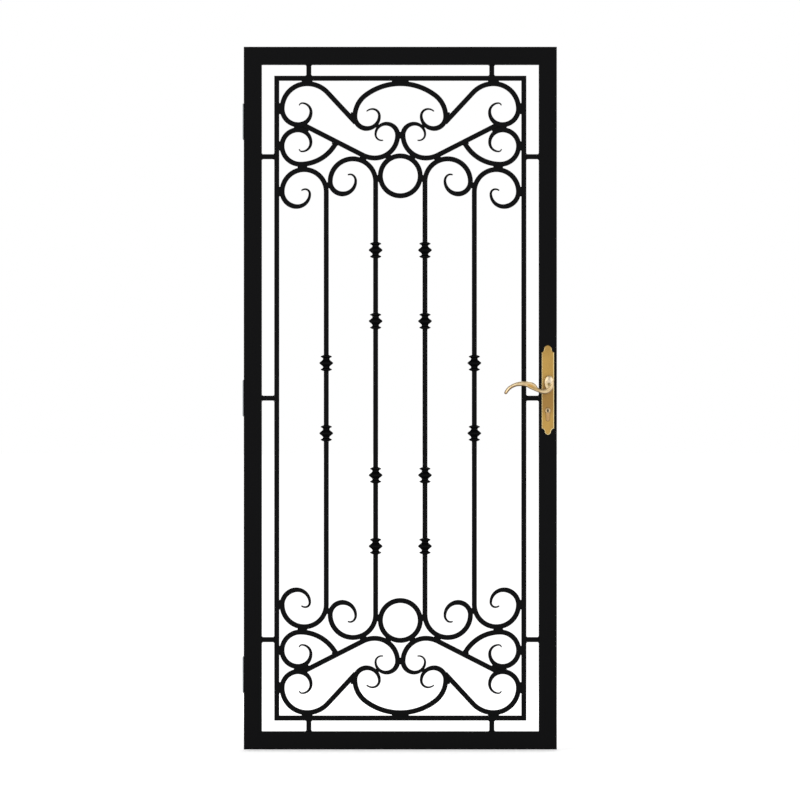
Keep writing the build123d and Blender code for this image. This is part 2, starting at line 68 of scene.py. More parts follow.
MM = 0.001
COAT_COLOUR = "060607"
COAT_IOR = 1.5
COAT_SHINE = 0.065
COAT_ROUGHNESS = (0.40, 0.52)
COAT_DRIFT = 90 * MM
COAT_PEEL = 2.2 * MM
PEEL_DEPTH = 0.12 * MM
PEEL_STRENGTH = 0.35
COAT_GRAIN = 0.5 * MM
GRAIN_DEPTH = 0.05 * MM
GRAIN_STRENGTH = 0.25

# Points so near are joined, faces so flat are one, and edges so sharp are eased. Angles are in degrees.
JOINED_WITHIN = 0.01 * MM
FLAT_WITHIN = 0.5
ARRIS_FROM = 32
ARRIS_STEPS = 3


def linear(hex_colour):
    """An sRGB hex colour as a linear RGBA value."""
    channels = [int(hex_colour[i:i + 2], 16) / 255 for i in (0, 2, 4)]
    return [c / 12.92 if c <= 0.04045 else ((c + 0.055) / 1.055) ** 2.4 for c in channels] + [1.0]


def add(tree, kind, values=None, links=None, **settings):
    """Add one shader node, with its settings, the values of its sockets and what is linked to them."""
    node = tree.nodes.new(kind)
    for name, setting in settings.items():
        setattr(node, name, setting)
    for socket, value in (values or {}).items():
        node.inputs[socket].default_value = value
    for socket, source in (links or {}).items():
        tree.links.new(source, node.inputs[socket])
    return node


def new_material(name):
    """An empty node material and its tree."""
    material = bpy.data.materials.new(name)
    material.use_nodes = True
    material.node_tree.nodes.clear()
    return material, material.node_tree


def finish_with(piece, material):
    """Give a piece one material all over."""
    piece.data.materials.clear()
    piece.data.materials.append(material)


# Powder coat hides the steel: near black, a dull sheen that spreads each highlight, slightly uneven.
coated_iron, tree = new_material("powder-coated iron")
where = add(tree, "ShaderNodeTexCoord").outputs["Object"]
peel = add(tree, "ShaderNodeTexNoise", {"Scale": 1 / COAT_PEEL, "Detail": 2.0}, {"Vector": where})
grain = add(tree, "ShaderNodeTexNoise", {"Scale": 1 / COAT_GRAIN, "Detail": 1.0}, {"Vector": where})
drift = add(tree, "ShaderNodeTexNoise", {"Scale": 1 / COAT_DRIFT, "Detail": 3.0}, {"Vector": where})
sheen = add(tree, "ShaderNodeMapRange", {"To Min": COAT_ROUGHNESS[0], "To Max": COAT_ROUGHNESS[1]},
            {"Value": drift.outputs["Fac"]})
rough = add(tree, "ShaderNodeBump", {"Strength": GRAIN_STRENGTH, "Distance": GRAIN_DEPTH},
            {"Height": grain.outputs["Fac"]})
skin_bump = add(tree, "ShaderNodeBump", {"Strength": PEEL_STRENGTH, "Distance": PEEL_DEPTH},
                {"Height": peel.outputs["Fac"], "Normal": rough.outputs["Normal"]})
shader = add(tree, "ShaderNodeBsdfPrincipled",
             {"Base Color": linear(COAT_COLOUR), "IOR": COAT_IOR, "Specular IOR Level": COAT_SHINE},
             {"Roughness": sheen.outputs["Result"], "Normal": skin_bump.outputs["Normal"]})
add(tree, "ShaderNodeOutputMaterial", links={"Surface": shader.outputs["BSDF"]})


def ease_edges(piece, width):
    """Round the arrises of a CAD node by a small radius, as grinding and coating leave them."""
    join = piece.modifiers.new("joined faces", "WELD")
    join.merge_threshold = JOINED_WITHIN
    flat = piece.modifiers.new("whole flats", "DECIMATE")
    flat.decimate_type = "DISSOLVE"
    flat.angle_limit = radians(FLAT_WITHIN)
    bevel = piece.modifiers.new("eased edges", "BEVEL")
    bevel.width = width
    bevel.segments = ARRIS_STEPS
    bevel.limit_method = "ANGLE"
    bevel.angle_limit = radians(ARRIS_FROM)
    bevel.use_clamp_overlap = False
    piece.data.shade_smooth()
    normals = piece.modifiers.new("true flats", "WEIGHTED_NORMAL")
    normals.keep_sharp = True


def dress(name, material, ease=None):
    """Finish a CAD node and, where a radius is given, ease its arrises. The tube's are round in the CAD."""
    finish_with(nodes[name], material)
    if ease:
        ease_edges(nodes[name], ease)


for name in ("top_rail", "bottom_rail", "left_stile", "right_stile"):
    dress(name, coated_iron)


# Inner frame and spacers
# 14 mm square bar, sawn and butt welded into a rectangle, with the arrises eased by a flap disc. Short
# cuts of the same bar hold it off the tube.

BAR_EASE = 0.9 * MM

for name in ("inner_left_bar", "inner_right_bar", "inner_top_bar", "inner_bottom_bar",
             "side_spacers", "end_spacers"):
    dress(name, coated_iron, BAR_EASE)


# Scrollwork, rings and pickets
# The same bar, bent hot round formers, the end of each scroll drawn down to a thin rounded tip.

SCROLLS = [f"{end}_{side}_{kind}_scroll" for end in ("upper", "lower") for side in ("left", "right")
           for kind in ("corner", "brace", "side")]

for name in SCROLLS + ["upper_ring", "lower_ring", "upper_arch_scroll", "lower_arch_scroll",
                       "picket_1", "picket_2", "picket_3", "picket_4"]:
    dress(name, coated_iron, BAR_EASE)


# Welds
# Short beads where one bar passes another, front and back, over the filler between them, and fillets
# round the spacers. Each bead is a row of frozen ripples under the same coat.

RIGHT = Vector((1, 0, 0))
BACKWARDS = Vector((0, 1, 0))
UP = Vector((0, 0, 1))
BAR = 14 * MM

# A share is a part of the bead's or the fillet's own size. Points are the same when their places in mm
# agree to so many digits, and a run is straight when it is so many times longer one way.
BEAD_PITCH = 2.0 * MM
BEAD_STEP = 0.5 * MM
BEAD_LEAST_STEPS = 8
BEAD_WIDTH = 5.2 * MM
BEAD_HEIGHT = 1.1 * MM
BEAD_SIDES = 12
BEAD_TIP_SHARE = 0.06
BEAD_RUN_SHARE = 0.9
RIPPLE_DEPTH_SHARE = 0.3
CRESCENT_LAG_SHARE = 0.5
FILLET = 2.4 * MM
FILLET_LIFT_SHARE = 0.6
FILLET_WIDTH_SHARE = 1.5
FILLET_HEIGHT_SHARE = 0.35
POINT_DIGITS = 2
STRAIGHT_RATIO = 1e3
NO_LENGTH = 1e-12


def islands(node):
    """The points of each separate solid of a CAD node."""
    mesh = nodes[node].data
    keys = [tuple(round(c / MM, POINT_DIGITS) for c in v.co) for v in mesh.vertices]
    group = {key: key for key in keys}

    def root(key):
        while group[key] != key:
            group[key] = group[group[key]]
            key = group[key]
        return key

    for face in mesh.polygons:
        first = root(keys[face.vertices[0]])
        for index in face.vertices[1:]:
            group[root(keys[index])] = first
    found = {}
    for key in group:
        found.setdefault(root(key), []).append(Vector(key) * MM)
    return list(found.values())


def skin(rings):
    """The points and faces of a closed surface through rings with the same number of points."""
    sides = len(rings[0])
    points = [point for ring in rings for point in ring]
    faces = []
    for here in range(0, len(points) - sides, sides):
        for j in range(sides):
            k = (j + 1) % sides
            faces.append((here + j, here + k, here + sides + k, here + sides + j))
    faces.append(tuple(range(sides - 1, -1, -1)))
    faces.append(tuple(range(len(points) - sides, len(points))))
    return points, faces


def bead(start, end, up, width=BEAD_WIDTH, height=BEAD_HEIGHT):
    """A straight weld bead from one point to another: crescent ripples between two rounded ends."""
    along = end - start
    across = along.normalized().cross(up)
    count = max(BEAD_LEAST_STEPS, round(along.length / BEAD_STEP))
    rings = []
    for i in range(count + 1):
        travelled = along.length * i / count
        short_of_full = min(1.0, max(0.0, 1 - min(travelled, along.length - travelled) / (width / 2)))
        swell = max(BEAD_TIP_SHARE, (1 - short_of_full ** 2) ** 0.5)
        ring = []
        for j in range(BEAD_SIDES):
            turn = 2 * pi * (j + 0.5) / BEAD_SIDES
            phase = (travelled + CRESCENT_LAG_SHARE * BEAD_PITCH * cos(turn) ** 2) / BEAD_PITCH
            crown = height * (1 - RIPPLE_DEPTH_SHARE * abs(sin(pi * phase)))
            ring.append(start + along * i / count
                        + (across * cos(turn) * width / 2 + up * sin(turn) * crown) * swell)
        rings.append(ring)
    return skin(rings)


def piece_from(name, shapes, material, body):
    """One object from several shapes, riding on a body."""
    points, faces = [], []
    for shape_points, shape_faces in shapes:
        start = len(points)
        points += [tuple(p) for p in shape_points]
        faces += [tuple(start + index for index in face) for face in shape_faces]
    mesh = bpy.data.meshes.new(name)
    mesh.from_pydata(points, [], faces)
    mesh.validate()
    mesh.shade_smooth()
    piece = bpy.data.objects.new(name, mesh)
    bpy.context.scene.collection.objects.link(piece)
    finish_with(piece, material)
    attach(piece, body)
    return piece


def seam_of(points):
    """The middle, direction and half length of a filler's run in the plane of the door."""
    middle = sum(points, Vector()) / len(points)
    xx = sum((p.x - middle.x) ** 2 for p in points)
    zz = sum((p.z - middle.z) ** 2 for p in points)
    xz = sum((p.x - middle.x) * (p.z - middle.z) for p in points)
    along = Vector((2 * xz, 0, zz - xx + hypot(xx - zz, 2 * xz)))
    if abs(xx - zz) > abs(xz) * STRAIGHT_RATIO:
        along = RIGHT if xx > zz else UP
    elif along.length < NO_LENGTH:
        along = RIGHT
    along = along.normalized()
    reach = max(abs((p - middle).dot(along)) for p in points)
    middle.y = 0
    return middle, along, reach


for node in ("upper_welds", "lower_welds"):
    dress(node, coated_iron)
    beads = []
    for points in islands(node):
        middle, along, reach = seam_of(points)
        for side in (-1, 1):
            face = Vector((0, side * BAR / 2, 0))
            half = along * reach * BEAD_RUN_SHARE
            beads.append(bead(middle + face - half, middle + face + half, BACKWARDS * side))
    piece_from(node.replace("welds", "weld_beads"), beads, coated_iron, "door")


def corners_of(points):
    """The lowest and highest corners of the box round some points."""
    return [Vector([pick(p[i] for p in points) for i in range(3)]) for pick in (min, max)]


def fillet(start, end, first_face, second_face):
    """A bead that fills the inside corner between two faces, given by the way that each one looks."""
    out = (first_face + second_face).normalized()
    lift = out * FILLET * FILLET_LIFT_SHARE
    return bead(start + lift, end + lift, out, FILLET * FILLET_WIDTH_SHARE, FILLET * FILLET_HEIGHT_SHARE)


# A spacer meets the tube, which is deeper than the bar, along four edges, and the inner bar along two.
fillets = []
door_middle = (cad_box[0][0] + cad_box[1][0]) / 2
for node, gap in (("side_spacers", RIGHT), ("end_spacers", UP)):
    breadth = BACKWARDS.cross(gap)
    for points in islands(node):
        low, high = corners_of(points)
        centre, half_gap = (low + high) / 2, (high - low).dot(gap) / 2
        outside = 1 if (centre - RIGHT * door_middle).dot(gap) > 0 else -1
        for end in (-1, 1):
            foot = centre + gap * end * half_gap
            for side in (-1, 1):
                line, edge = BACKWARDS * BAR / 2, breadth * side * BAR / 2
                fillets.append(fillet(foot + edge - line, foot + edge + line, -gap * end, breadth * side))
                if end == outside:
                    line, edge = breadth * BAR / 2, BACKWARDS * side * BAR / 2
                    fillets.append(fillet(foot + edge - line, foot + edge + line, -gap * end,
                                          BACKWARDS * side))
piece_from("spacer_fillets", fillets, coated_iron, "door")


# Collars
# Cast iron collars, square like the bar that they slide over: a ridged belly between two scooped necks
# and two drooping flanges. The sand mould leaves every ridge a little round.

# Half width and height above the middle, in mm.
COLLAR_PROFILE = [
    (19.4, 0.0), (18.6, 1.7), (15.6, 4.4), (11.9, 7.4), (9.7, 9.9), (9.2, 11.9), (10.0, 13.9),
    (12.6, 15.7), (15.2, 16.9), (15.7, 18.0), (14.9, 19.4), (11.6, 21.2), (8.2, 22.6), (6.7, 23.0),
]
COLLAR_CORNER = 1.6 * MM
CORNER_STEPS = 4
CURVE_STEPS = 4


def curve_through(rows):
    """Rows of numbers with smooth rows between them, by a Catmull-Rom spline."""
    first = [2 * a - b for a, b in zip(rows[0], rows[1])]
    last = [2 * a - b for a, b in zip(rows[-1], rows[-2])]
    padded = [first] + [list(row) for row in rows] + [last]
    smooth = []
    for before, a, b, after in zip(padded, padded[1:], padded[2:], padded[3:]):
        for step in range(CURVE_STEPS):
            t = step / CURVE_STEPS
            smooth.append([0.5 * (2 * q + (r - p) * t + (2 * p - 5 * q + 4 * r - s) * t * t
                                  + (3 * q - p - 3 * r + s) * t ** 3)
                           for p, q, r, s in zip(before, a, b, after)])
    smooth.append(list(rows[-1]))
    return smooth


def square_ring(centre, half):
    """A level square ring with rounded corners."""
    inner = half - COLLAR_CORNER
    ring = []
    for quarter in range(4):
        for step in range(CORNER_STEPS + 1):
            turn = radians(90 * (quarter + step / CORNER_STEPS))
            x = inner * (1 if quarter in (0, 3) else -1) + COLLAR_CORNER * cos(turn)
            y = inner * (1 if quarter in (0, 1) else -1) + COLLAR_CORNER * sin(turn)
            ring.append(centre + Vector((x, y, 0)))
    return ring


half_profile = curve_through(COLLAR_PROFILE)
collar_profile = [(w, -z) for w, z in reversed(half_profile)] + half_profile[1:]
collars = []
for points in islands("picket_collars"):
    low, high = corners_of(points)
    middle = (low + high) / 2
    collars.append(skin([square_ring(middle + Vector((0, 0, z * MM)), w * MM) for w, z in collar_profile]))
cast_collars = piece_from("cast_collars", collars, coated_iron, "door")
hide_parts("picket_collars")


# Hinges
# Three butt hinges behind the left stile. The door's leaf is welded on along three edges and coated with
# the door; the wall's leaf is zinc plated, bored for screws, and left bright like the turned pin.

DOOR_LEAF_EASE = 0.35 * MM
WALL_LEAF_EASE = 0.3 * MM
PIN_EASE = 0.5 * MM
ZINC = "a6aaad"
ZINC_SHADE = "85898b"
ZINC_ROUGHNESS = (0.34, 0.50)
ZINC_BLOOM = 9 * MM
TURNED_STEEL = "918f8b"
TURNED_ROUGHNESS = (0.28, 0.42)
TURNING_PITCH = 0.6 * MM
TURNING_WANDER = 0.4
TURNING_STRENGTH = 0.3
TOOL_MARK_DEPTH = 0.03 * MM
OIL_PATCH = 12 * MM
HINGE_WELD_INSET = 4 * MM
LEVEL_WITHIN = 0.1 * MM

dress("hinge_door_leaves", coated_iron, DOOR_LEAF_EASE)
hinge_welds = []
stile_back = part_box("left_stile")[1].y
for points in islands("hinge_door_leaves"):
    low, high = corners_of(points)
    plate_edge = min(p.x for p in points if abs(p.z - high.z) < LEVEL_WITHIN)
    for height, up in ((low.z, -UP), (high.z, UP)):
        hinge_welds.append(fillet(Vector((plate_edge + HINGE_WELD_INSET, stile_back, height)),
                                  Vector((high.x - HINGE_WELD_INSET, stile_back, height)), BACKWARDS, up))
    hinge_welds.append(fillet(Vector((high.x, stile_back, low.z + HINGE_WELD_INSET)),
                              Vector((high.x, stile_back, high.z - HINGE_WELD_INSET)), BACKWARDS, RIGHT))
piece_from("hinge_weld_beads", hinge_welds, coated_iron, "door")

# Zinc plate is a bluish grey metal with a soft, cloudy bloom.
zinc_plate, tree = new_material("zinc-plated steel")
where = add(tree, "ShaderNodeTexCoord").outputs["Object"]
bloom = add(tree, "ShaderNodeTexNoise", {"Scale": 1 / ZINC_BLOOM, "Detail": 4.0}, {"Vector": where})
tone = add(tree, "ShaderNodeMix", {"A": linear(ZINC), "B": linear(ZINC_SHADE)},
           {"Factor": bloom.outputs["Fac"]}, data_type="RGBA")
dull = add(tree, "ShaderNodeMapRange", {"To Min": ZINC_ROUGHNESS[0], "To Max": ZINC_ROUGHNESS[1]},
           {"Value": bloom.outputs["Fac"]})
shader = add(tree, "ShaderNodeBsdfPrincipled", {"Metallic": 1.0},
             {"Base Color": tone.outputs["Result"], "Roughness": dull.outputs["Result"]})
add(tree, "ShaderNodeOutputMaterial", links={"Surface": shader.outputs["BSDF"]})
dress("hinge_wall_leaves", zinc_plate, WALL_LEAF_EASE)

# Turned steel is a grey metal with a fine thread of tool marks round it, drawn coarser than real, and
# patches that oil has dulled.
turned_steel, tree = new_material("turned steel")
where = add(tree, "ShaderNodeTexCoord").outputs["Object"]
marks = add(tree, "ShaderNodeTexWave", {"Scale": 1 / TURNING_PITCH, "Distortion": TURNING_WANDER},
            {"Vector": where}, bands_direction="Z")
cut = add(tree, "ShaderNodeBump", {"Strength": TURNING_STRENGTH, "Distance": TOOL_MARK_DEPTH},
          {"Height": marks.outputs["Fac"]})
oil = add(tree, "ShaderNodeTexNoise", {"Scale": 1 / OIL_PATCH, "Detail": 3.0}, {"Vector": where})
dull = add(tree, "ShaderNodeMapRange", {"To Min": TURNED_ROUGHNESS[0], "To Max": TURNED_ROUGHNESS[1]},
           {"Value": oil.outputs["Fac"]})
shader = add(tree, "ShaderNodeBsdfPrincipled", {"Base Color": linear(TURNED_STEEL), "Metallic": 1.0},
             {"Roughness": dull.outputs["Result"], "Normal": cut.outputs["Normal"]})
add(tree, "ShaderNodeOutputMaterial", links={"Surface": shader.outputs["BSDF"]})
dress("hinge_pins", turned_steel, PIN_EASE)


# Lock case and bolts
# A mortise lock of pressed and brushed steel in the right stile: its faceplate is let into the edge, with
# the latch and the dead bolt flush in it.

LOCK_EASE = 0.4 * MM
BOLT_EASE = 0.5 * MM
BRUSHED_STEEL = "9c9a95"
BRUSHED_ROUGHNESS = (0.26, 0.46)
BRUSH_LINE = 0.7 * MM
BRUSH_DRAWN_OUT = 0.02
BRUSH_STRENGTH = 0.2
BRUSH_DEPTH = 0.03 * MM

# Brushed steel is a pale grey metal whose fine upright lines smear the highlight, drawn coarser than real.
brushed_steel, tree = new_material("brushed steel")
where = add(tree, "ShaderNodeTexCoord").outputs["Object"]
drawn_out = add(tree, "ShaderNodeMapping", {"Scale": (1, 1, BRUSH_DRAWN_OUT)}, {"Vector": where})
lines = add(tree, "ShaderNodeTexNoise", {"Scale": 1 / BRUSH_LINE, "Detail": 3.0},
            {"Vector": drawn_out.outputs["Vector"]})
dull = add(tree, "ShaderNodeMapRange", {"To Min": BRUSHED_ROUGHNESS[0], "To Max": BRUSHED_ROUGHNESS[1]},
           {"Value": lines.outputs["Fac"]})
cut = add(tree, "ShaderNodeBump", {"Strength": BRUSH_STRENGTH, "Distance": BRUSH_DEPTH},
          {"Height": lines.outputs["Fac"]})
shader = add(tree, "ShaderNodeBsdfPrincipled", {"Base Color": linear(BRUSHED_STEEL), "Metallic": 1.0},
             {"Roughness": dull.outputs["Result"], "Normal": cut.outputs["Normal"]})
add(tree, "ShaderNodeOutputMaterial", links={"Surface": shader.outputs["BSDF"]})
for name, ease in (("mortise_lock", LOCK_EASE), ("lock_bolts", BOLT_EASE), ("lever_spindle", LOCK_EASE)):
    dress(name, brushed_steel, ease)


# Backplates
# Forged brass plates with a bevelled rim and a raised rose, polished and lacquered. Two cross-head screws
# go in from the back plate, so the front one shows none.

# A pair of edges or limits runs from where a tone starts to come in to where it is full.
BRASS = "b89143"
BRASS_SHADE = "a68139"
# A painted shadow of the lever, then a painted highlight for the rim.
LEVER_SHADOW_TONE = "9a7330"
BRASS_RIM_HIGHLIGHT = "e9d69c"
# Painted shade for the corners.
BRASS_CORNER_SHADE = "4a3413"
BRASS_ROUGHNESS = (0.20, 0.32)
LACQUER = 0.7
LACQUER_ROUGHNESS = 0.15
STREAK = 1.6 * MM
STREAK_DRAWN_OUT = 0.08
STREAK_STRENGTH = 0.12
STREAK_DEPTH = 0.04 * MM
PLATE_CLOUD = 45 * MM
CLOUD_EDGES = (0.38, 0.68)
# The band of painted shadow round and below the lever: its height, core and edge.
LEVER_SHADOW_HEIGHT = -2 * MM
LEVER_SHADOW_CORE = 16 * MM
LEVER_SHADOW_EDGE = 58 * MM
# The side tone is painted light on rims and flanks: it spares upper faces, as if lit from above, and widens
# towards a tip.
TOP_LIGHT_SHARE = 0.4
TURNED_ASIDE = (0.92, 0.30)
ON_A_BEVEL = (0.95, 0.66)
TIP_SHADE_LIMIT = 0.76
# Painted shade in the corners: how far the occlusion reaches, and its limits.
CORNER_SHADE_REACH = 4 * MM
CORNER_SHADE_EDGES = (0.85, 0.35)
PATCH_EDGES = (1.5, 0.4)
PLATE_EASE = 0.35 * MM
PLATE_THICKNESS = 3 * MM


def brass(name, face, shade, side, corner_shade, cloud, lever_shadow=None, patches=(), tip=None, turned=TURNED_ASIDE):
    """Lacquered brass: cloudy on its polished face, with a painted tone where it turns away from the front,
    and painted shade in the corners.

    The side tone is painted light: a painted highlight on a pale rim, painted shade on dark flanks. It
    comes in between two limits of how squarely the surface faces out of the door, and takes over more of it
    towards a tip, between two places along the door. Upper faces get less of it, painted as if lit from
    above.
    A painted shadow of the lever lies in a band across the plate. Each patch is an oval of another tone,
    given by its middle, tilt, half sizes and colour.
    """
    material, tree = new_material(name)
    place = add(tree, "ShaderNodeTexCoord")
    where = place.outputs["Object"]
    clouds = add(tree, "ShaderNodeTexNoise", {"Scale": 1 / cloud, "Detail": 3.0}, {"Vector": where})
    share = add(tree, "ShaderNodeMapRange", {"From Min": CLOUD_EDGES[0], "From Max": CLOUD_EDGES[1]},
                {"Value": clouds.outputs["Fac"]})
    tone = add(tree, "ShaderNodeMix", {"A": linear(face), "B": linear(shade)},
               {"Factor": share.outputs["Result"]}, data_type="RGBA")
    # Painted shadow: a darker band across the plate where the lever's shadow falls.
    if lever_shadow:
        height = add(tree, "ShaderNodeSeparateXYZ", links={"Vector": where})
        offset = add(tree, "ShaderNodeMath", {1: LEVER_SHADOW_HEIGHT}, {0: height.outputs["Z"]},
                     operation="SUBTRACT")
        away = add(tree, "ShaderNodeMath", links={0: offset.outputs[0]}, operation="ABSOLUTE")
        near = add(tree, "ShaderNodeMapRange", {"From Min": LEVER_SHADOW_EDGE, "From Max": LEVER_SHADOW_CORE},
                   {"Value": away.outputs[0]}, interpolation_type="SMOOTHSTEP")
        tone = add(tree, "ShaderNodeMix", {"B": linear(lever_shadow)},
                   {"Factor": near.outputs["Result"], "A": tone.outputs["Result"]}, data_type="RGBA")
    # Painted light by facing: the side colour is a painted highlight on a pale rim and painted shade on
    # dark flanks.
    facing = add(tree, "ShaderNodeSeparateXYZ", links={"Vector": place.outputs["Normal"]})
    outward = add(tree, "ShaderNodeMath", links={0: facing.outputs["Y"]}, operation="ABSOLUTE")
    upward = add(tree, "ShaderNodeMath", {1: TOP_LIGHT_SHARE}, {0: facing.outputs["Z"], 2: outward.outputs[0]},
                 operation="MULTIPLY_ADD")
    painted_side_share = add(tree, "ShaderNodeMapRange", {"From Min": turned[0], "From Max": turned[1]},
                {"Value": upward.outputs[0]}, interpolation_type="SMOOTHSTEP")
    if tip:
        along = add(tree, "ShaderNodeSeparateXYZ", links={"Vector": where})
        limit = add(tree, "ShaderNodeMapRange", {"From Min": tip[0], "From Max": tip[1],
                                                 "To Min": turned[1], "To Max": TIP_SHADE_LIMIT},
                    {"Value": along.outputs["X"]}, interpolation_type="SMOOTHSTEP")
        tree.links.new(limit.outputs["Result"], painted_side_share.inputs["From Max"])
    tone = add(tree, "ShaderNodeMix", {"B": linear(side)},
               {"Factor": painted_side_share.outputs["Result"], "A": tone.outputs["Result"]}, data_type="RGBA")
    # Painted shade: darker where other surfaces are near, in corners and round proud parts.
    nook = add(tree, "ShaderNodeAmbientOcclusion", {"Distance": CORNER_SHADE_REACH}, samples=8)
    corner_shade_share = add(tree, "ShaderNodeMapRange", {"From Min": CORNER_SHADE_EDGES[0], "From Max": CORNER_SHADE_EDGES[1]},
               {"Value": nook.outputs["AO"]})
    tone = add(tree, "ShaderNodeMix", {"B": linear(corner_shade)},
               {"Factor": corner_shade_share.outputs["Result"], "A": tone.outputs["Result"]}, data_type="RGBA")
    # Painted light: each patch is an oval of painted reflection, painted highlight or painted shade.
    for middle, tilt, half_sizes, colour in patches:
        oval = {"Location": middle, "Rotation": (0, radians(tilt), 0), "Scale": half_sizes}
        inside = add(tree, "ShaderNodeMapping", oval, {"Vector": where}, vector_type="TEXTURE")
        reach = add(tree, "ShaderNodeVectorMath", links={0: inside.outputs["Vector"]}, operation="LENGTH")
        patch_share = add(tree, "ShaderNodeMapRange", {"From Min": PATCH_EDGES[0], "From Max": PATCH_EDGES[1]},
                   {"Value": reach.outputs["Value"]}, interpolation_type="SMOOTHSTEP")
        tone = add(tree, "ShaderNodeMix", {"B": linear(colour)},
                   {"Factor": patch_share.outputs["Result"], "A": tone.outputs["Result"]}, data_type="RGBA")
    drawn_out = add(tree, "ShaderNodeMapping", {"Scale": (1, 1, STREAK_DRAWN_OUT)}, {"Vector": where})
    streaks = add(tree, "ShaderNodeTexNoise", {"Scale": 1 / STREAK, "Detail": 3.0},
                  {"Vector": drawn_out.outputs["Vector"]})
    dull = add(tree, "ShaderNodeMapRange", {"To Min": BRASS_ROUGHNESS[0], "To Max": BRASS_ROUGHNESS[1]},
               {"Value": streaks.outputs["Fac"]})
    cut = add(tree, "ShaderNodeBump", {"Strength": STREAK_STRENGTH, "Distance": STREAK_DEPTH},
              {"Height": streaks.outputs["Fac"]})
    shader = add(tree, "ShaderNodeBsdfPrincipled",
                 {"Metallic": 1.0, "Coat Weight": LACQUER, "Coat Roughness": LACQUER_ROUGHNESS},
                 {"Base Color": tone.outputs["Result"], "Roughness": dull.outputs["Result"],
                  "Normal": cut.outputs["Normal"]})
    add(tree, "ShaderNodeOutputMaterial", links={"Surface": shader.outputs["BSDF"]})
    return material


# Polished brass is a warm yellow metal, cloudy under its lacquer, with a painted shadow of the lever in a
# band across it and a painted highlight on its bevelled rim. Upright polishing streaks, drawn coarser than
# real, soften its reflections.
polished_brass = brass("polished brass", BRASS, BRASS_SHADE, BRASS_RIM_HIGHLIGHT, BRASS_CORNER_SHADE, PLATE_CLOUD,
                       lever_shadow=LEVER_SHADOW_TONE, turned=ON_A_BEVEL)
for name in ("front_lock_plate", "back_lock_plate"):
    dress(name, polished_brass, PLATE_EASE)

# The screws' sizes are in mm, and the turns, round a quarter of the head, in degrees.
SCREW_HEAD_RADIUS = 3.6
SCREW_HEAD_PROUD = 0.9
SCREW_HEAD_SUNK = 0.5
SCREW_DOME = (0.0, 0.35, 0.62, 0.8)
SCREW_CROSS_LENGTH = 2.1
SCREW_CROSS_WIDTH = 0.62
SCREW_CROSS_DEPTH = 1.5
SCREW_CROSS_TAPER = 0.75
SCREW_TURNS = (20, 30, 45)
SCREW_ROUNDING = 0.01
SCREW_END_INSET = 18 * MM


def cross_head_screw(place, out):
    """A low domed screw head with a cross-shaped recess, looking out of a plate."""
    right = UP.cross(out)
    corner = degrees(atan2(SCREW_CROSS_WIDTH, SCREW_CROSS_LENGTH))
    near, far, between = SCREW_TURNS
    turns = [90 * arm + turn for arm in range(4)
             for turn in (-between, -far, -near, -corner, 0, corner, near, far)]
    cross = []
    for turn in turns:
        off_arm = abs((turn + 45) % 90 - 45)
        if off_arm <= corner + SCREW_ROUNDING:
            cross.append(SCREW_CROSS_LENGTH / cos(radians(off_arm)))
        else:
            cross.append(SCREW_CROSS_WIDTH / sin(radians(off_arm)))

    def ring(radii, height):
        return [place + (right * radius * cos(radians(turn)) + out * height) * MM
                + Vector((0, 0, radius * sin(radians(turn)))) * MM for radius, turn in zip(radii, turns)]

    rings = [ring([SCREW_HEAD_RADIUS] * len(turns), -SCREW_HEAD_SUNK)]
    for rise in SCREW_DOME:
        radius = SCREW_HEAD_RADIUS * (1 - rise ** 2) ** 0.5
        rings.append(ring([radius] * len(turns), SCREW_HEAD_PROUD * rise))
    rings.append(ring(cross, SCREW_HEAD_PROUD))
    floor_of_cross = [radius * SCREW_CROSS_TAPER for radius in cross]
    rings.append(ring(floor_of_cross, SCREW_HEAD_PROUD - SCREW_CROSS_DEPTH))
    return skin(rings)


plate_low, plate_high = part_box("back_lock_plate")
plate_middle = (plate_low.x + plate_high.x) / 2
screws = [cross_head_screw(Vector((plate_middle, plate_low.y + PLATE_THICKNESS, height)), BACKWARDS)
          for height in (plate_low.z + SCREW_END_INSET, plate_high.z - SCREW_END_INSET)]
piece_from("back_plate_screws", screws, polished_brass, "door")


# Key cylinder
# A double key cylinder through the lock: a satin brass housing, and in each end a paler turning plug with a
# narrow keyway.

SATIN_BRASS = "be9761"
SATIN_BRASS_SHADE = "ad854e"
# Painted shade on the rims and sides.
SATIN_BRASS_SIDE_SHADE = "4e3413"
PALE_BRASS = "d7c197"
PALE_BRASS_SHADE = "c0a273"
# Painted shade where the surface turns away, then painted shade in the corners.
PALE_BRASS_SIDE_SHADE = "72562e"
PALE_BRASS_CORNER_SHADE = "6a5226"
PALE_CLOUD = 20 * MM
# Painted shade round the keyway: its half sizes and colour.
KEYWAY_SHADE_SIZE = (2.8 * MM, 1.0, 5.0 * MM)
KEYWAY_SHADE = "2e210e"
HOUSING_EASE = 0.6 * MM
PLUG_EASE = 0.3 * MM

# Satin brass is a rosy middling gold, with painted shade on its rims and down its sides.
satin_brass = brass("satin brass", SATIN_BRASS, SATIN_BRASS_SHADE, SATIN_BRASS_SIDE_SHADE, BRASS_CORNER_SHADE,
                    PALE_CLOUD, turned=ON_A_BEVEL)
dress("lock_cylinder", satin_brass, HOUSING_EASE)

# Plug brass is the pale brass of the levers, with painted shade where it turns away and round the keyway.
plug_low, plug_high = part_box("front_key_plug")
plug_brass = brass("plug brass", PALE_BRASS, PALE_BRASS_SHADE, PALE_BRASS_SIDE_SHADE, PALE_BRASS_CORNER_SHADE,
                   PALE_CLOUD, patches=[((plug_low + plug_high) / 2, 0, KEYWAY_SHADE_SIZE, KEYWAY_SHADE)])
for name in ("front_key_plug", "back_key_plug"):
    dress(name, plug_brass, PLUG_EASE)


# Levers
# Cast brass levers, one each side on the spindle, ground and polished by hand: the arm curls out of a
# domed boss, turns over at the thumb and tapers to a drooping tip.

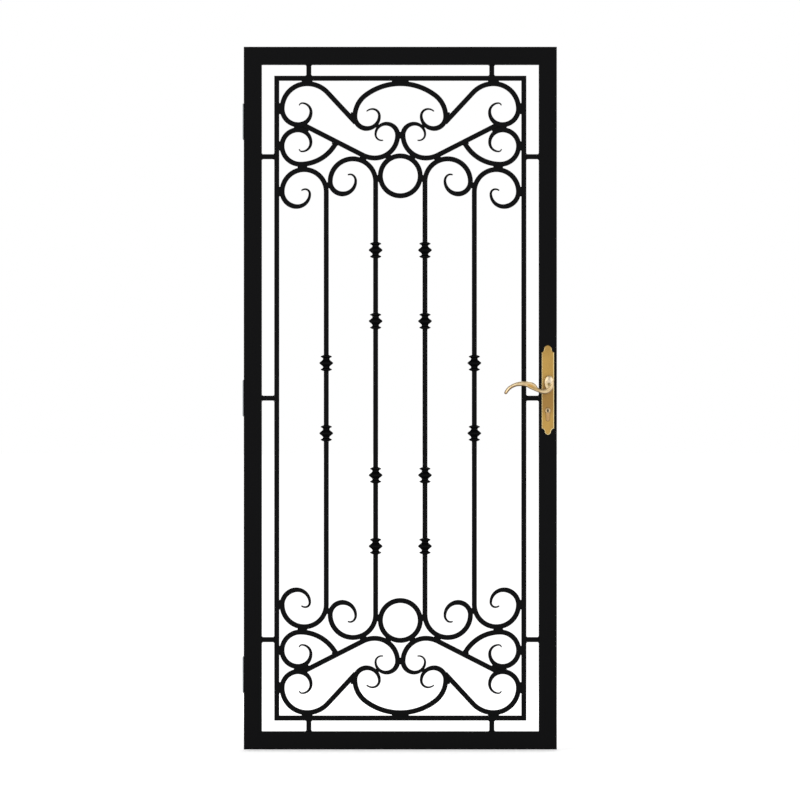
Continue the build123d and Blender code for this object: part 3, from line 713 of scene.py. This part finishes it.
# Sections along the arm, in mm: across and up from the pivot, width, thickness, and bow towards the door.
LEVER_ROWS = [
    (12.6, 3.0, 4.6, 5.0, 2.6),
    (13.2, -4.0, 6.4, 8.2, 1.0),
    (12.0, -12.6, 8.2, 10.2, 0.2),
    (7.6, -21.6, 10.8, 10.8, 0.0),
    (-0.2, -28.4, 13.8, 11.0, 0.0),
    (-7.0, -30.8, 14.4, 11.0, 0.0),
    (-13.0, -31.2, 13.4, 10.8, 0.0),
    (-20.7, -30.2, 11.4, 10.2, 0.2),
    (-27.2, -27.8, 10.0, 9.6, 0.4),
    (-33.2, -24.5, 11.9, 9.4, 0.7),
    (-38.5, -20.0, 16.2, 9.2, 0.9),
    (-44.0, -16.2, 18.4, 9.2, 1.0),
    (-51.0, -12.7, 17.8, 9.4, 1.3),
    (-59.5, -10.0, 15.3, 9.8, 1.6),
    (-69.2, -9.0, 13.7, 10.0, 2.1),
    (-79.2, -9.8, 12.8, 10.0, 2.6),
    (-90.2, -11.8, 11.2, 9.6, 3.2),
    (-100.3, -16.2, 10.0, 9.0, 3.8),
    (-109.3, -22.4, 9.6, 8.4, 4.3),
    (-115.2, -29.6, 8.8, 7.6, 4.8),
    (-118.4, -35.0, 7.8, 6.6, 5.1),
    (-119.9, -38.4, 4.2, 4.0, 5.2),
]
LEVER_SIDES = 48

# The front of the arm narrows to a crest towards the tip. Over the thumb rest a ridge winds from the face
# to the upper edge and back, with a shallow facet under it. Places in mm, turns round the arm in degrees.
CREST = 0.24
CREST_START = -72.0
CREST_FULL = -98.0
RIDGE_START = -76.0
RIDGE_END = -18.0
RIDGE_HEIGHT = 1.6
RIDGE_TURN = 90
RIDGE_RISE = 42.0
RIDGE_BREADTH = 18
FACET_SHARE = 0.9
FACET_BELOW = 50
FACET_BREADTH = 30

# The boss, its neck and the finish of the casting, in mm where MM isn't named. The boss's eye and its
# hollow are each a centre, two spreads and a rise.
BOSS_HALF_WIDTH = 13.0
BOSS_HALF_HEIGHT = 20.2
BOSS_CENTRE = (2.9, -6.7)
BOSS_SIDES = 96
BOSS_STEPS = 24
BOSS_BACK_RINGS = (0.05, 0.5, 0.95)
BOSS_BACK_ROUND = 0.5 * MM
BOSS_LAST_RING = 0.02
BOSS_RIM = 4.6
BOSS_DOME = 3.0
BOSS_EYE = (3.0, 1.5, 9.0, 10.0, 2.2)
BOSS_HOLLOW = (2.9, -11.4, 3.6, 4.2, -3.4)
NECK_RADIUS = 8.0
NECK_SIDES = 48
NECK_SUNK = 1 * MM
NECK_CLEARANCE = 1.5 * MM
CASTING_GRAIN = 0.5 * MM
POLISH_SHARE = 0.5
POLISH_PASSES = 6

# Painted reflections and shade on the lever: the middle from the pivot in mm, the tilt, the half sizes and
# the colour.
THUMB_FACET_REFLECTION = "a98a52"
GOLD_FACET_REFLECTION = "bf9145"
DOME_REFLECTION = "c9b89c"
HOLLOW_SHADE = "87733f"
LEVER_PAINTED_LIGHT = [
    ((-42.0, 0.0, -19.8), 26, (18 * MM, 1.0, 4.6 * MM), THUMB_FACET_REFLECTION),
    ((-50.0, 0.0, -15.0), 16, (9 * MM, 1.0, 3.4 * MM), GOLD_FACET_REFLECTION),
    ((3.2, 0.0, -1.0), 0, (9 * MM, 1.0, 11 * MM), DOME_REFLECTION),
    ((2.2, 0.0, -11.6), 20, (5 * MM, 1.0, 4.4 * MM), HOLLOW_SHADE),
]
TIP_START = -62.0
TIP_FULL = -104.0

spindle_low, spindle_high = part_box("lever_spindle")
pivot = (spindle_low + spindle_high) / 2
lever_back = spindle_low.y
lever_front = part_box("front_lever")[0].y


def at_pivot(x, y, z):
    """A point given in millimetres across and up from the pivot, and in metres through the door."""
    return Vector((pivot.x + x * MM, y, pivot.z + z * MM))


def thumb_ridge(x, turn):
    """How far the ridge over the thumb rest, and the facet under it, change the arm's section there."""
    share = (x - RIDGE_START) / (RIDGE_END - RIDGE_START)
    if not 0 < share < 1:
        return 0.0
    past = turn - RIDGE_TURN - RIDGE_RISE * sin(pi * share)
    ridge = exp(-(past / RIDGE_BREADTH) ** 2)
    facet = FACET_SHARE * exp(-((past + FACET_BELOW) / FACET_BREADTH) ** 2)
    return RIDGE_HEIGHT * sin(pi * share) * (ridge - facet)


def lever_arm():
    """The arm's surface, through oval sections square to its centreline."""
    rows = curve_through(LEVER_ROWS)
    middle = (lever_front + lever_back) / 2
    centres = [at_pivot(x, middle + bow * MM, z) for x, z, _, _, bow in rows]
    rings = []
    for i, (centre, (x, _, width, thickness, _)) in enumerate(zip(centres, rows)):
        along = (centres[min(i + 1, len(centres) - 1)] - centres[max(i - 1, 0)]).normalized()
        outward = -BACKWARDS
        outward = (outward - along * outward.dot(along)).normalized()
        across = outward.cross(along)
        crest = CREST * min(1.0, max(0.0, (x - CREST_START) / (CREST_FULL - CREST_START)))
        ring = []
        for j in range(LEVER_SIDES):
            turn = 360 * j / LEVER_SIDES
            swell = thumb_ridge(x, turn)
            wide, deep = cos(radians(turn)), sin(radians(turn))
            if deep > 0:
                wide, deep = wide * abs(wide) ** crest, deep * deep ** crest
            ring.append(centre + across * wide * (width / 2 + swell) * MM
                        + outward * deep * (thickness / 2 + swell) * MM)
        rings.append(ring)
    return skin(rings)


def boss_ring(share, y):
    """An oval ring of the boss's outline, drawn in towards its centre by a share."""
    ring = []
    for j in range(BOSS_SIDES):
        turn = 2 * pi * j / BOSS_SIDES
        ring.append(at_pivot(BOSS_CENTRE[0] + BOSS_HALF_WIDTH * share * cos(turn), y,
                             BOSS_CENTRE[1] + BOSS_HALF_HEIGHT * share * sin(turn)))
    return ring


def boss_height(place, share):
    """How far the boss's front stands out from its back, in mm: a low dome with an eye and a hollow."""
    x, z = (place.x - pivot.x) / MM, (place.z - pivot.z) / MM
    height = BOSS_RIM + BOSS_DOME * (1 - share ** 4) ** 0.5
    for centre_x, centre_z, spread_x, spread_z, rise in (BOSS_EYE, BOSS_HOLLOW):
        height += rise * exp(-((x - centre_x) / spread_x) ** 2 - ((z - centre_z) / spread_z) ** 2)
    return height


def lever_boss():
    """The boss that the arm curls out of."""
    rings = [boss_ring(share, lever_back) for share in BOSS_BACK_RINGS]
    rings.append(boss_ring(1.0, lever_back - BOSS_BACK_ROUND))
    for step in range(BOSS_STEPS):
        share = max(cos(radians(90 * step / (BOSS_STEPS - 1))), BOSS_LAST_RING)
        ring = boss_ring(share, lever_back)
        for place in ring:
            place.y -= boss_height(place, share) * MM
        rings.append(ring)
    return skin(rings)


def lever_neck():
    """The round neck between the boss and the rose."""
    plate_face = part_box("front_lock_plate")[0].y
    turns = [2 * pi * j / NECK_SIDES for j in range(NECK_SIDES)]
    return skin([[at_pivot(NECK_RADIUS * cos(turn), y, NECK_RADIUS * sin(turn)) for turn in turns]
                 for y in (lever_back - NECK_SUNK, plate_face + NECK_CLEARANCE)])


def mirrored(shape):
    """The same shape on the other side of the door."""
    points, faces = shape
    return [Vector((p.x, -p.y, p.z)) for p in points], [tuple(reversed(face)) for face in faces]


# Pale brass is a light rosy gold, bright on the polished face, with painted shade where it turns away and
# towards the tip. Painted reflections lie over the thumb facet on the arm and on the dome, and painted
# shade in the boss's hollow.
painted_light_patches = [(at_pivot(*place), tilt, half_sizes, colour) for place, tilt, half_sizes, colour in LEVER_PAINTED_LIGHT]
pale_brass = brass("pale brass", PALE_BRASS, PALE_BRASS_SHADE, PALE_BRASS_SIDE_SHADE, PALE_BRASS_CORNER_SHADE,
                   PALE_CLOUD, patches=painted_light_patches, tip=[at_pivot(x, 0, 0).x for x in (TIP_START, TIP_FULL)])
lever_shapes = [lever_arm(), lever_boss(), lever_neck()]
for side, shapes in (("front", lever_shapes), ("back", [mirrored(shape) for shape in lever_shapes])):
    cast = piece_from(f"{side}_cast_lever", shapes, pale_brass, "lever")
    fused = cast.modifiers.new("one casting", "REMESH")
    fused.mode = "VOXEL"
    fused.voxel_size = CASTING_GRAIN
    fused.use_smooth_shade = True
    polish = cast.modifiers.new("polish", "SMOOTH")
    polish.factor = POLISH_SHARE
    polish.iterations = POLISH_PASSES
    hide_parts(f"{side}_lever")


# Stage
# A white studio: a floor just under the door, a white room that the camera and the metal see, two large
# soft boxes in front, one on each side, and a smaller one behind.

WHITE = (1, 1, 1, 1)
FLOOR_COLOUR = "e6e6e6"
FLOOR_CLEARANCE = 3 * MM
FLOOR_REACH = 120.0
SHADOW_REACH = (0.8, 3.0)
FLOOR_GLOW = (0.40, 0.62)
ROOM_LIGHT = 0.6
WALLS = 1.0
CEILING = 0.55
CEILING_EDGES = (0.30, 0.85)
FRAME_PIXELS = 800
PIXEL_AT_DOOR = 2.819 * MM
SENSOR_WIDTH = 36
CAMERA_DISTANCE = 22.0
CAMERA_X = 443.97 * MM
CAMERA_Z = -5.2 * MM

# Each lamp's place, width, height and power.
LAMPS = [
    ("key", (-3.6, -3.4, 2.6), 7.0, 6.0, 125),
    ("fill", (4.6, -3.2, 1.0), 5.0, 4.4, 60),
    ("back", (1.0, 3.8, 2.6), 4.0, 3.0, 65),
]


def looked_at(tree):
    """1 for a ray from the camera or one that a metal or glass sends on, and 0 for one that lights."""
    ray = add(tree, "ShaderNodeLightPath")
    seen = add(tree, "ShaderNodeMath", links={0: ray.outputs["Is Camera Ray"],
                                              1: ray.outputs["Is Glossy Ray"]}, operation="MAXIMUM")
    seen = add(tree, "ShaderNodeMath", links={0: seen.outputs[0], 1: ray.outputs["Is Transmission Ray"]},
               operation="MAXIMUM")
    return seen.outputs[0]


# The white floor glows for the camera and the metal, less near the door, so that its soft shadow shows.
floor_height = cad_box[0][2] - FLOOR_CLEARANCE
white_floor, tree = new_material("white floor")
seen = looked_at(tree)
where = add(tree, "ShaderNodeTexCoord").outputs["Object"]
offset = add(tree, "ShaderNodeVectorMath", {1: (CAMERA_X, 0, floor_height)}, {0: where},
             operation="SUBTRACT")
away = add(tree, "ShaderNodeVectorMath", links={0: offset.outputs[0]}, operation="LENGTH")
outer = add(tree, "ShaderNodeMapRange", {"From Min": SHADOW_REACH[0], "From Max": SHADOW_REACH[1],
                                         "To Min": FLOOR_GLOW[0], "To Max": FLOOR_GLOW[1]},
            {"Value": away.outputs["Value"]}, interpolation_type="SMOOTHSTEP")
glow = add(tree, "ShaderNodeMath", links={0: seen, 1: outer.outputs["Result"]}, operation="MULTIPLY")
paint = add(tree, "ShaderNodeBsdfDiffuse", {"Color": linear(FLOOR_COLOUR)})
light = add(tree, "ShaderNodeEmission", {"Color": WHITE}, {"Strength": glow.outputs[0]})
both = add(tree, "ShaderNodeAddShader", links={0: paint.outputs[0], 1: light.outputs[0]})
add(tree, "ShaderNodeOutputMaterial", links={"Surface": both.outputs[0]})

floor_mesh = bpy.data.meshes.new("floor")
floor_corners = [(x * FLOOR_REACH, y * FLOOR_REACH, floor_height)
                 for x, y in ((-1, -1), (1, -1), (1, 1), (-1, 1))]
floor_mesh.from_pydata(floor_corners, [], [(0, 1, 2, 3)])
floor = bpy.data.objects.new("floor", floor_mesh)
bpy.context.scene.collection.objects.link(floor)
finish_with(floor, white_floor)

# The room is white to the camera and the metal, with a greyer ceiling, and dimmer where it lights.
world = bpy.data.worlds.new("white room")
bpy.context.scene.world = world
world.use_nodes = True
tree = world.node_tree
tree.nodes.clear()
seen = looked_at(tree)
where = add(tree, "ShaderNodeTexCoord").outputs["Generated"]
direction = add(tree, "ShaderNodeSeparateXYZ", links={"Vector": where})
walls = add(tree, "ShaderNodeMapRange", {"From Min": CEILING_EDGES[0], "From Max": CEILING_EDGES[1],
                                         "To Min": WALLS, "To Max": CEILING},
            {"Value": direction.outputs["Z"]}, interpolation_type="SMOOTHSTEP")
strength = add(tree, "ShaderNodeMix", {"A": ROOM_LIGHT}, {"Factor": seen, "B": walls.outputs["Result"]})
room = add(tree, "ShaderNodeBackground", {"Color": WHITE}, {"Strength": strength.outputs["Result"]})
add(tree, "ShaderNodeOutputWorld", links={"Surface": room.outputs[0]})

for name, place, width, height, power in LAMPS:
    data = bpy.data.lights.new(name, "AREA")
    data.shape = "RECTANGLE"
    data.size = width
    data.size_y = height
    data.energy = power
    soft_box = bpy.data.objects.new(name, data)
    bpy.context.scene.collection.objects.link(soft_box)
    soft_box.location = place
    towards_door = RIGHT * CAMERA_X - Vector(place)
    soft_box.rotation_euler = towards_door.to_track_quat("-Z", "Y").to_euler()

camera_data = bpy.data.cameras.new("camera")
camera_data.sensor_width = SENSOR_WIDTH
camera_data.lens = SENSOR_WIDTH * CAMERA_DISTANCE / (FRAME_PIXELS * PIXEL_AT_DOOR)
camera = bpy.data.objects.new("camera", camera_data)
bpy.context.scene.collection.objects.link(camera)
door_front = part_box("right_stile")[0].y
camera.location = (CAMERA_X, door_front - CAMERA_DISTANCE, CAMERA_Z)
camera.rotation_euler = (radians(90), 0, 0)
bpy.context.scene.camera = camera
bpy.context.scene.view_settings.view_transform = "Standard"
